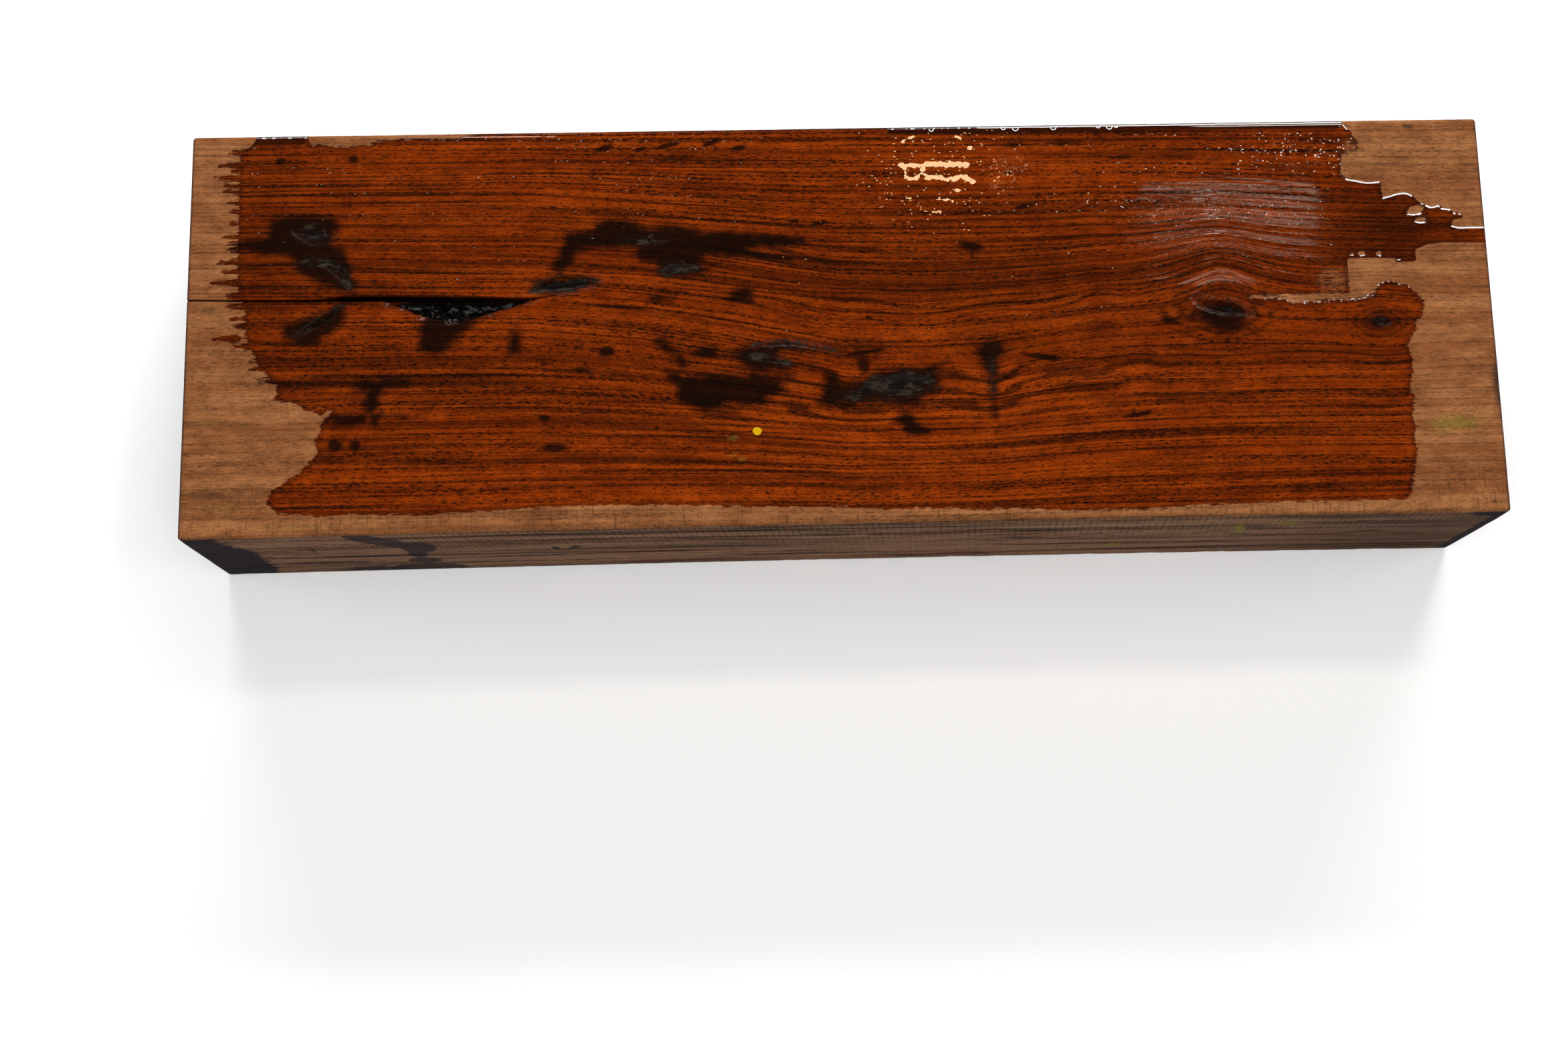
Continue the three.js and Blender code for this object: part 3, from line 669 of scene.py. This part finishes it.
        stain = deepest(outline_distance(x, y, outline) for outline in STAINS)
        bark = deepest(hollow_shape(x, y, rows, 0 * x)[0] for rows in HOLLOWS.values())
        stain, bark = (np.where(off_top, OFF_TOP, inside) for inside in (stain, bark))
        spot = np.where(off_top, 0, smears(x, y, SPOTS))
        knot = np.zeros(len(x))
        rings = np.full(len(x), 3.0)
        clear = np.zeros(len(x))
        fade = np.exp(-((below / KNOT_DEPTH) ** 2))
        for kx, ky, long, wide, dark, visible in EYES:
            away = np.hypot((x - kx) / long, (y - ky) / wide)
            knot = np.maximum(knot, dark * np.exp(-((away / KNOT_SHARE) ** 2)) * fade)
            clear = np.where(away < rings, visible * fade, clear)
            rings = np.minimum(rings, away)
        darker = sum(
            much * np.exp(-(((x - sx) / long) ** 2) - ((y - sy) / wide) ** 2)
            for sx, sy, long, wide, much in SHADES) * np.exp(-((below / PUSH_DEPTH) ** 2))
        self.store(mesh, "marks", stain, spot, knot)
        self.store(mesh, "place", side, end, bark)
        self.store(mesh, "eyes", rings, clear, darker)
        layers = (OLIVE_SMEARS, GREY_SMEARS, NEARLY_DRY)
        self.store(mesh, "smears", *(smears(x, y, places) * (1 - side) for places in layers))

    def map_water(self, mesh, x, y, below, off_top, seed):
        """Stores how far inside the wetted area, the pools and the films each point lies."""
        wet = wet_distance(x, y)
        behind = wet_distance(x, y + SHORE_STEP)
        to_back = np.clip((wet - behind) / SHORE_STEP, 0, 1)
        flat = np.stack([x, y, np.full(len(x), seed)], axis=1)
        least, more = BACK_RUN
        drip = least + more * np.maximum(wander(flat, 23, 500, 1), 0)
        wet = np.where(off_top, np.minimum(wet, drip - below) * (y > 0) - 9 * (y <= 0), wet)
        pool = deepest(outline_distance(x, y, outline) for outline in POOLS)
        film = deepest(
            half - line_distance(x, y, (ax, ay), (bx, by))[0] for ax, ay, bx, by, half in FILMS)
        pool, film = (np.where(off_top, OFF_TOP, inside) for inside in (pool, film))
        self.store(mesh, "water", wet, pool, film)
        self.store(mesh, "shore", to_back, 0, 0)

    def map_grain(self, mesh, points, below, seed):
        """Stores how the grain is swayed, how high the heart is, and how the lines drift."""
        x, y, z = points.T
        heart_y = np.interp(x, *HEART_LINE)
        left_in = np.ones(len(x))
        for kx, reach, rise in KNOTS:
            left_in *= 1 - rise * np.exp(-(((x - kx) / reach) ** 2))
        heart_z = below + z - HEART_DEPTH * np.sqrt(left_in)
        wavy = sum(size * wander(points + seed, *scale) for size, scale in SWAY)
        drift = sum(size * wander(points - seed, *scale) for size, scale in DRIFT)
        sway = heart_y * np.exp(-(((y - heart_y) / HEART_SWAY) ** 2))
        for px, py, along, across, push in PUSHES:
            near = np.exp(1 - np.hypot(1, (x - px) / along)) * np.exp(-(((y - py) / across) ** 2))
            sway = sway + push * near * np.exp(-((below / PUSH_DEPTH) ** 2))
        self.store(mesh, "grain", sway + wavy, heart_z, drift)

    def store(self, mesh, name, *values):
        """Stores three values at each point, for the finish to read."""
        layer = mesh.attributes.new(name, "FLOAT_VECTOR", "POINT")
        rows = np.stack(np.broadcast_arrays(*values), axis=1)
        layer.data.foreach_set("vector", rows.astype(np.float32).ravel())


class Value:
    """A node's output that takes part in an arithmetic expression."""

    def __init__(self, maker, socket):
        self.maker = maker
        self.socket = socket

    def math(self, operation, *others, swap=False):
        terms = [self, *others]
        if swap:
            terms.reverse()
        return self.maker.node(
            "ShaderNodeMath", {"operation": operation}, dict(enumerate(terms)))

    def larger(self, other):
        return self.math("MAXIMUM", other)

    def __add__(self, other):
        return self.math("ADD", other)

    def __radd__(self, other):
        return self.math("ADD", other, swap=True)

    def __sub__(self, other):
        return self.math("SUBTRACT", other)

    def __rsub__(self, other):
        return self.math("SUBTRACT", other, swap=True)

    def __mul__(self, other):
        return self.math("MULTIPLY", other)

    def __rmul__(self, other):
        return self.math("MULTIPLY", other, swap=True)

    def __truediv__(self, other):
        return self.math("DIVIDE", other)

    def __pow__(self, other):
        return self.math("POWER", other)


class Maker:
    """Adds nodes to one material."""

    def __init__(self, name):
        self.material = bpy.data.materials.new(name)
        self.material.use_nodes = True
        self.tree = self.material.node_tree
        self.tree.nodes.clear()

    def node(self, kind, settings=None, inputs=None, output=0):
        made = self.tree.nodes.new(kind)
        for name, value in (settings or {}).items():
            setattr(made, name, value)
        for key, value in (inputs or {}).items():
            if isinstance(value, Value):
                self.tree.links.new(value.socket, made.inputs[key])
            else:
                made.inputs[key].default_value = value
        return Value(self, made.outputs[output]) if made.outputs else None

    def vector(self, x, y, z=0.0):
        return self.node("ShaderNodeCombineXYZ", None, {0: x, 1: y, 2: z})

    def parts(self, vector):
        split = self.node("ShaderNodeSeparateXYZ", None, {0: vector})
        outputs = split.socket.node.outputs
        return [Value(self, outputs[i]) for i in range(3)]

    def attribute(self, name):
        settings = {"attribute_type": "GEOMETRY", "attribute_name": name}
        return self.parts(self.node("ShaderNodeAttribute", settings, None, "Vector"))

    def noise(self, x, y, z=0.0, detail=2.0, roughness=0.5):
        """Smooth random values, centred on 0."""
        return self.node(
            "ShaderNodeTexNoise", {"noise_dimensions": "3D"},
            {"Vector": self.vector(x, y, z), "Scale": 1.0, "Detail": detail,
             "Roughness": roughness}) - 0.5

    def smooth(self, value, low, high, to_low=0.0, to_high=1.0):
        """A soft step from one value to another."""
        return self.node(
            "ShaderNodeMapRange", {"interpolation_type": "SMOOTHSTEP"},
            {"Value": value, "From Min": low, "From Max": high, "To Min": to_low,
             "To Max": to_high})

    def ramp(self, value, low, high):
        return self.node(
            "ShaderNodeMapRange", None, {"Value": value, "From Min": low, "From Max": high})

    def cells(self, kind, vector, output):
        """Small cells that pores and specks grow from, in the plane (2D) or in the wood (3D)."""
        return self.node(
            "ShaderNodeTexVoronoi", {"voronoi_dimensions": kind, "feature": "F1"},
            {"Vector": vector, "Scale": 1.0}, output)

    def to_world(self, x, y, z=0.0):
        """A direction on the billet, turned the way that the billet lies."""
        return self.node(
            "ShaderNodeVectorTransform",
            {"vector_type": "VECTOR", "convert_from": "OBJECT", "convert_to": "WORLD"},
            {0: self.vector(x, y, z)})

    def mix(self, factor, a, b, blend="MIX"):
        pair = {6: a if isinstance(a, Value) else (*a, 1.0),
                7: b if isinstance(b, Value) else (*b, 1.0)}
        return self.node(
            "ShaderNodeMix", {"data_type": "RGBA", "blend_type": blend, "clamp_factor": True},
            {0: factor, **pair}, 2)

    def mix_value(self, factor, a, b):
        return self.node("ShaderNodeMix", {"clamp_factor": True}, {0: factor, 2: a, 3: b})

    def ovals(self, u, v, places, uneven):
        """The strongest of a list of ovals, with uneven rims."""
        strongest = 0.0
        for cu, cv, long, wide, turn, much in places:
            blob = self.smooth(self.blob(u, v, (cu, cv), (long, wide), turn) + uneven, 0.0, 0.5)
            strongest = (blob * much).larger(strongest)
        return strongest

    def nearest(self, u, v, places):
        """How far each point lies inside the nearest of a list of ovals, as blob tells it."""
        inside = None
        for cu, cv, long, wide, turn, fainter in places:
            blob = self.blob(u, v, (cu, cv), (long, wide), turn)
            blob = blob - fainter if fainter else blob
            inside = inside.larger(blob) if inside else blob
        return inside

    def blob(self, u, v, centre, half, turn=0.0):
        """1 at the middle of an oval, 0 at its rim, less outside."""
        c, s = math.cos(math.radians(turn)), math.sin(math.radians(turn))
        du, dv = u - centre[0], v - centre[1]
        along = (du * c + dv * s) / half[0]
        across = (dv * c - du * s) / half[1]
        return 1 - (along * along + across * across) ** 0.5


def make_wood(colours, height):
    """The finish of the whole billet: wet and dry wood, bark, stains and sealer."""
    m = Maker("cocobolo")
    place = m.node("ShaderNodeTexCoord", None, None, "Object")
    x, y, z = (axis * (1 / MM) for axis in m.parts(place))
    sway, heart_z, drift = m.attribute("grain")
    wet_in, pool_in, film_in = m.attribute("water")
    stain_in, spot, knot = m.attribute("marks")
    side, end, bark_in = m.attribute("place")
    rings, clear, darker = m.attribute("eyes")
    olive, grey, nearly_dry = m.attribute("smears")
    to_back = m.attribute("shore")[0]
    upper = 1 - side

    # The grain runs along X, swayed round the knots; growth rings lie round the heart line
    across = y - sway
    dz = z - heart_z
    ring = (across * across + dz * dz) ** 0.5
    streak = m.noise(x / 190.0, across / 1.25, z / 1.25, 3, 0.65)
    band = m.noise(x / 240.0, across / 3.6, z / 3.6, 1)
    fibre = m.noise(x / 3.6, across / 0.42, z / 0.42, 2, 0.65)
    broad = m.noise(x / 190.0, across / 7.0, z / 7.0, 2)
    mottle = m.noise(x / 12.0, y / 7.0, z / 7.0, 3, 0.55)

    # Growth lines: dark and thin, strong on one stretch and lost on the next
    phase = (ring + across * 0.3) / LINE_PITCH + drift
    turn = phase.math("FRACT") - 0.5
    strength = m.smooth(m.noise(x / 110.0, phase.math("FLOOR") * 7.3, z / 40.0, 2), -0.15, 0.15)
    strength = strength * m.smooth(ring, 9.5, 17.0, 0.12, 1.0)
    off = (turn + fibre * 0.25 + streak * 0.2).math("ABSOLUTE")
    line = m.smooth(off - strength * 0.1, 0.2, 0.0) * strength
    line = line * m.smooth(fibre, -0.16, 0.06, 0.3, 1.0)
    turn = (rings * 3.6 + broad * 3.0 + mottle * 0.8).math("FRACT") - 0.5
    eye = m.smooth(turn.math("ABSOLUTE"), 0.34, 0.08) * m.smooth(rings, 1.35, 0.8) * clear
    line = line.larger(eye * 0.5)

    # Pores: short dark dashes along the grain
    long, wide = PORE_CELL
    cell = m.cells("3D", m.vector(x / long, across / wide, z / wide), "Distance")
    pore = m.smooth(cell - streak * 1.1 - line * 0.12, 0.36, 0.2)
    pit = m.smooth(cell, 0.3, 0.2)
    long, wide = FINE_PORE_CELL
    cell = m.cells("3D", m.vector(x / long, across / wide, z / wide), "Distance")
    pore_fine = m.smooth(cell - streak * 1.1 - line * 0.12, 0.38, 0.2)

    # Where the wood is wet, where the water stands, and where it lies as flat as glass
    ragged = m.noise(x / 5.0, y / 0.95, z, 3, 0.6) * 5.6
    patch = m.noise(x / 6.0, y / 3.6, z / 3.6, 3, 0.6)
    run_noise = m.noise(x / 1.6, y / 3.4, z / 3.4, 2, 0.6)
    at_pool = m.smooth(pool_in, -10.0, 0.0)
    edge_in = wet_in + ragged * (1 - at_pool * 0.92)
    wet = m.smooth(edge_in, -0.25, 0.35)
    rim = m.smooth(edge_in, 0.0, 3.4)
    pool = m.smooth(pool_in + patch * 5.0, -1.0, 2.0) * wet
    beads = m.noise(x / 2.6, y / 1.7, 0.0, 1) * 3.2
    film = m.smooth(film_in + beads, -0.1, 0.15) * wet
    coloured = wet * (1 - m.smooth(nearly_dry + patch + streak, 0.2, 0.8) * 0.6)

    # Colours of wetted, dry and weathered wood
    tone = m.smooth(broad + mottle * 0.55, -0.2, 0.2)
    dark_streak = m.smooth(streak, -0.06, 0.18)
    wet_wood = m.mix(tone, colours.wet_mid, colours.wet_light)
    wet_wood = m.mix(m.smooth(band, 0.0, 0.2) * 0.6, wet_wood, colours.wet_dark)
    wet_wood = m.mix(dark_streak * 0.7, wet_wood, colours.wet_dark)
    wet_wood = m.mix(line * 0.82, wet_wood, colours.wet_line_and_brim_shade)
    wet_wood = m.mix(knot * 0.8, wet_wood, colours.wet_line_and_brim_shade)
    dry_wood = m.mix(tone, colours.dry_mid, colours.dry_light)
    dry_wood = m.mix(dark_streak * 0.22, dry_wood, colours.dry_dark)
    dry_wood = m.mix(line * 0.42, dry_wood, colours.dry_dark)
    dry_wood = m.mix(knot * 0.35, dry_wood, colours.dry_dark)
    side_wood = m.mix(m.smooth(streak * 1.4 + broad * 0.7 + line * 0.15, -0.08, 0.27),
                      colours.side_light, colours.side_dark)
    side_wood = m.mix(m.smooth(x, 200.0, 300.0) * 0.5, side_wood, colours.side_dark)
    run = m.noise(x / 6.0, z / 3.6, y / 6.0, 3, 0.62)
    front = m.smooth(y, -97.0, -99.0) * side
    mark = m.ovals(x, z, FRONT_DARK, run * 1.6 + streak * 2.0 + 0.1) * front
    side_wood = m.mix(mark * 0.95, side_wood, colours.sealer)
    mark = m.ovals(x, z, FRONT_RED, run * 1.6 + streak * 3.0 + 0.2) * front
    side_wood = m.mix(mark * 0.9, side_wood, colours.rust)
    stroke = (((x + z * 0.1) / 3.3 + run * 0.5).math("FRACT") - 0.5).math("ABSOLUTE")
    saw_line = m.smooth(stroke, 0.15, 0.04) * m.smooth(broad + run * 1.4, -0.2, 0.14)
    saw_line = saw_line * m.smooth(z, 35.0, 85.0, 0.4, 1.0)
    side_wood = m.mix(saw_line * 0.75, side_wood, colours.side_dark)
    tick = m.noise(x / 0.8, y / 9.0, z / 9.0, 1)
    tick = m.smooth(tick, 0.08, 0.2) * m.smooth(y + patch * 30.0, -70.0, -84.0, 0.04, 0.5)
    dry_wood = m.mix(tick, dry_wood, colours.dry_dark)
    dry_wood = m.mix(m.smooth(grey + patch * 0.7, 0.08, 0.9) * 0.8, dry_wood, colours.side_dark)
    wood = m.mix(coloured, m.mix(side, dry_wood, side_wood), wet_wood)
    wood = m.mix(m.smooth(olive + run_noise * 0.9, 0.12, 0.9) * 0.5, wood, colours.chalk)
    shade = (1 + fibre * (1.4 + wet * 0.5) + mottle * (0.55 + wet * 0.25)) * (1 - darker * wet)
    wood = m.mix(1.0, wood, m.vector(shade, shade, shade), "MULTIPLY")
    pores = pore * 0.9 + pore_fine * 0.7
    wood = m.mix(pores * (0.35 + wet * 0.6), wood, colours.wet_line_and_brim_shade)
    wood = m.mix((1 - rim) * wet * 0.55, wood, colours.wet_line_and_brim_shade)

    # Mineral stain, soft-edged
    stain = m.smooth(stain_in + patch * 6.0 + streak * 5.0, -3.6, 2.2) * (0.95 + fibre * 0.3)
    stain = stain.larger(m.smooth(spot + patch * 0.5, 0.1, 0.6) * 0.9)
    wood = m.mix(stain * (0.5 + wet * 0.5), wood, colours.stain)

    # Bark on the beds of the pockets
    flake = m.noise(x / 3.4, y / 1.5, z / 1.5, 4, 0.7)
    bark = m.smooth(bark_in + patch * 13.0 + flake * 4.0, 0.0, 2.2) * m.smooth(knot, 0.7, 0.3)
    bark_tone = m.mix(
        m.smooth(flake + patch * 0.9 + streak * 0.5, -0.04, 0.16), colours.bark_dark_and_depth_shade, colours.bark)
    wood = m.mix(bark * 0.9, wood, bark_tone)
    # Painted shade: whatever lies deeper than about 1.4 mm below the top, in the split, the pockets
    # and the knot holes, is darkened almost to black
    painted_depth_shade = m.smooth((height - z) * upper, 1.4, 3.6)
    wood = m.mix(painted_depth_shade * 0.96, wood, colours.bark_dark_and_depth_shade)
    dab = m.smooth(m.blob(x, y, *PAINT_DAB) + patch, 0.0, 0.12) * upper
    wood = m.mix(dab * m.smooth(z, 90.0, 94.0), wood, colours.paint)

    # Wax on the ends, which has run onto the left of the sides and soaked into the front
    runs_to = m.smooth(z, 58.0, 92.0, -291.0, -303.0)
    sealed = m.smooth(x - runs_to + run * 15.0, 2.0, -2.0) * side
    sealed = sealed.larger(m.smooth(x + run * 6.0, 312.0, 315.0) * side)
    sealed = sealed.larger(m.smooth(m.blob(x, z, *WAX_CORNER) + run, 0.0, 0.3) * side)
    soaked = m.smooth(m.nearest(x, z, SOAKED) + run * 0.5, -0.06, 0.08) * front
    sealed = sealed.larger(soaked * 0.85).larger(end)
    wood = m.mix(sealed * 0.94, wood, colours.sealer)
    smear = m.smooth(m.nearest(x, z, FRONT_CHALK) + run * 2.0, 0.0, 0.5) * front
    wood = m.mix(smear * 0.7, wood, colours.chalk)

    # The back rim, where the water hangs over the edge: painted shade, the wood darkened almost to
    # black where the water rounds over the back edge and down the back
    painted_brim_shade = m.smooth(pool_in, -0.5, 0.5) * m.smooth(y, 95.5, 98.5)
    painted_brim_shade = painted_brim_shade.larger(m.smooth(y, 100.9, 101.1) * m.smooth(z, 89.0, 93.0)) * wet
    wood = m.mix(painted_brim_shade * 0.85, wood, colours.wet_line_and_brim_shade)

    roughness = m.mix_value(bark, 0.8 - wet * 0.77, 0.3 - pool * 0.24)

    # Relief in millimetres: pores and fibres, saw marks, and the water's own surface
    flat = pool.larger(film)
    thin = m.smooth(m.blob(x, y, *GLARE), 0.0, 0.3)
    ripple = m.noise(x / 40.0, across / 1.9, 0.0, 2, 0.5)
    ripple = ripple * (0.002 + thin * (0.08 + m.smooth(x, 205.0, 150.0) * 0.25)) * (1 - flat) * wet
    relief = fibre * m.smooth(wet, 0.0, 1.0, 0.07, 0.001) - pit * (1 - wet) * 0.05
    saw = m.noise((x + z * 0.25) / 1.4, (y + z) / 30.0, 0.0, 2) * 0.16 + saw_line * side * -0.1
    swell = patch * 0.005 * wet
    hollow = m.smooth(bark_in + patch * 3.0, -3.2, -1.2)
    relief = relief + ripple + saw * (1 - wet) + swell + flake * hollow * 0.1
    normal = m.node(
        "ShaderNodeBump", None, {"Strength": 1.0, "Distance": MM, "Height": relief})

    # Specks of water in the pores, each tilted its own way
    long, wide = SPECK_CELL
    tilt_x, tilt_y, pick = m.parts(m.cells("2D", m.vector(x / long, across / wide), "Color"))
    often = m.blob(x, y, *SPECKLED).larger(m.blob(x, y, *LESS_SPECKLED) * 0.6)
    often = m.smooth(often, 0.0, 0.8) * 0.34
    broken = m.smooth(m.blob(x, y, *BROKEN_WATER) + patch * 2.0, 0.0, 0.03)
    lean = m.smooth(pick + streak * 1.8 + broad * 0.7 + often, 1.1, 1.11)
    lean = lean * m.ramp(y, -90.0, 60.0) * 0.2
    lean = lean * (1 - broken) * wet * upper * (1 - flat) * (1 - hollow)
    lean = lean.larger(bark * pool * 0.3)
    film = film.larger(m.smooth(pick, 0.987, 0.988) * broken)
    lean_x = (tilt_x - 0.5) * lean + (FILM_FACES[0] - x) * film * FILM_TILT
    lean_x = lean_x + broken * (1 - film) * TURNED_AWAY
    lean_y = (tilt_y - 0.5) * lean + (FILM_FACES[1] - y) * film * FILM_TILT
    lean_y = lean_y + m.smooth(band + fibre * 0.3, -0.03, 0.05) * thin * TURNED_AWAY
    lean = m.to_world(lean_x, lean_y)
    normal = m.node("ShaderNodeVectorMath", {"operation": "ADD"}, {0: normal, 1: lean})

    # Water curls down at its shores; where it faces the back it mirrors the softbox there
    shore = m.smooth(pool_in, -3.0, -1.0).larger(m.smooth(run_noise, 0.0, 0.06) * 0.5)
    curl = m.smooth(edge_in, 0.0, 0.15) * m.smooth(edge_in - at_pool * 0.45, 0.6, 0.45)
    curl = curl * m.smooth(to_back, 0.6, 0.75) * m.smooth(shore, 0.1, 0.4) * (1 - painted_brim_shade) * upper
    curl = curl * m.smooth(x, 190.0, 200.0)
    lip = y + m.noise(x / 9.0, 4.0, 0.0, 2, 0.6) * 0.7
    lip = m.smooth(lip, 100.3, 100.4) * m.smooth(lip, 101.1, 101.0)
    lip = lip * m.smooth(m.noise(x / 2.6, 9.0, 0.0, 1) + m.ramp(x, 68.0, 84.0) * 0.6, 0.03, 0.06)
    for drip_x, drip_y, radius in DRIPS:
        away = m.blob(x, y, (drip_x, drip_y), (radius, radius)) * radius
        ring_in = 0.32 - away.math("ABSOLUTE")
        lip = lip.larger(m.smooth(ring_in, 0.0, 0.1) * m.smooth(y, drip_y + 0.5, drip_y))
    curl = curl.larger(lip * m.smooth(pool_in, -0.2, 0.2) * wet * m.ramp(y, 96.0, 97.0))
    slope = m.to_world(0.0, SHORE_SLOPE - y * SHORE_SLOPE_LOSS, 1.0)
    normal = m.node("ShaderNodeMix", {"data_type": "VECTOR"}, {0: curl, 4: normal, 5: slope}, 1)
    normal = m.node("ShaderNodeVectorMath", {"operation": "NORMALIZE"}, {0: normal})

    # Water mirrors the lamps; dry wood, bark and wax hardly shine
    matt = m.node(
        "ShaderNodeBsdfPrincipled", {"distribution": "MULTI_GGX"},
        {"Base Color": wood, "Roughness": 0.9, "Specular IOR Level": 0.03, "Normal": normal})
    glossy = m.node(
        "ShaderNodeBsdfPrincipled", {"distribution": "MULTI_GGX"},
        {"Base Color": wood, "Roughness": roughness, "IOR": WATER_IOR, "Normal": normal})
    shiny = (wet * (1 - hollow * 0.88)).larger(pool * 0.9) * (1 - sealed)
    shiny = shiny * (1 - m.smooth(y - m.smooth(pool_in, -0.5, 0.5) * 0.65, 100.4, 100.65) * 0.95)
    m.node("ShaderNodeOutputMaterial", None, {"Surface": m.node(
        "ShaderNodeMixShader", None, {0: shiny, 1: matt, 2: glossy})})
    return m.material


class BILLET_OT_stage(bpy.types.Operator):
    """Make the floor, the lights and the camera"""

    bl_idname = "billet.stage"
    bl_label = "Stage"

    def execute(self, context):
        self.make_floor()
        self.make_lights()
        self.make_camera(context)
        return {"FINISHED"}

    def make_floor(self):
        all_off()
        bpy.ops.mesh.primitive_plane_add(size=FLOOR_SIZE, location=(0, 0, 0))
        floor = bpy.context.object
        floor.name = floor.data.name = "floor"
        m = Maker("floor_paper")
        m.node("ShaderNodeOutputMaterial", None, {"Surface": m.node(
            "ShaderNodeBsdfPrincipled", None,
            {"Base Color": FLOOR_COLOUR, "Roughness": 0.9, "Specular IOR Level": 0.1})})
        floor.data.materials.append(m.material)

    def make_lights(self):
        for name, place, size, power, tint in LIGHTS:
            bpy.ops.object.light_add(type="AREA", location=place)
            lamp = bpy.context.object
            lamp.name = name
            lamp.data.shape = "RECTANGLE"
            lamp.data.size, lamp.data.size_y = size
            lamp.data.energy = power
            lamp.data.color = tint
            if name in SOFTBOXES:
                aim = Vector(SOFTBOX_AIM) - Vector(place)
                lamp.rotation_euler = aim.to_track_quat("-Z", "Y").to_euler()
        world = bpy.data.worlds.new("studio")
        world.use_nodes = True
        sky = world.node_tree.nodes["Background"]
        sky.inputs["Color"].default_value = (1, 1, 1, 1)
        sky.inputs["Strength"].default_value = WORLD_STRENGTH
        bpy.context.scene.world = world
        bpy.context.scene.view_settings.view_transform = "Standard"

    def make_camera(self, context):
        bpy.ops.object.camera_add(
            location=CAMERA_PLACE, rotation=[math.radians(a) for a in CAMERA_TURN])
        camera = context.object
        camera.name = "photo_camera"
        camera.data.sensor_width = CAMERA_SENSOR
        camera.data.lens = CAMERA_LENS
        camera.data.clip_end = CAMERA_REACH
        context.scene.camera = camera


class BILLET_PT_panel(bpy.types.Panel):
    """Lists the sizes, the colours and the steps."""

    bl_idname = "BILLET_PT_panel"
    bl_label = "Cocobolo billet"
    bl_space_type = "VIEW_3D"
    bl_region_type = "UI"
    bl_category = "Billet"

    def draw(self, context):
        for group in (context.scene.billet_sizes, context.scene.billet_colours):
            for name in group.__annotations__:
                self.layout.prop(group, name)
        for operator in OPERATORS:
            self.layout.operator(operator.bl_idname)


OPERATORS = (BILLET_OT_block, BILLET_OT_stage)
CLASSES = (BilletSizes, BilletColours, *OPERATORS, BILLET_PT_panel)


def register():
    for cls in CLASSES:
        bpy.utils.register_class(cls)
    bpy.types.Scene.billet_sizes = PointerProperty(type=BilletSizes)
    bpy.types.Scene.billet_colours = PointerProperty(type=BilletColours)


def unregister():
    del bpy.types.Scene.billet_colours
    del bpy.types.Scene.billet_sizes
    for cls in reversed(CLASSES):
        bpy.utils.unregister_class(cls)


def main():
    register()
    bpy.ops.billet.block()
    bpy.ops.billet.stage()


if __name__ == "__main__":
    main()
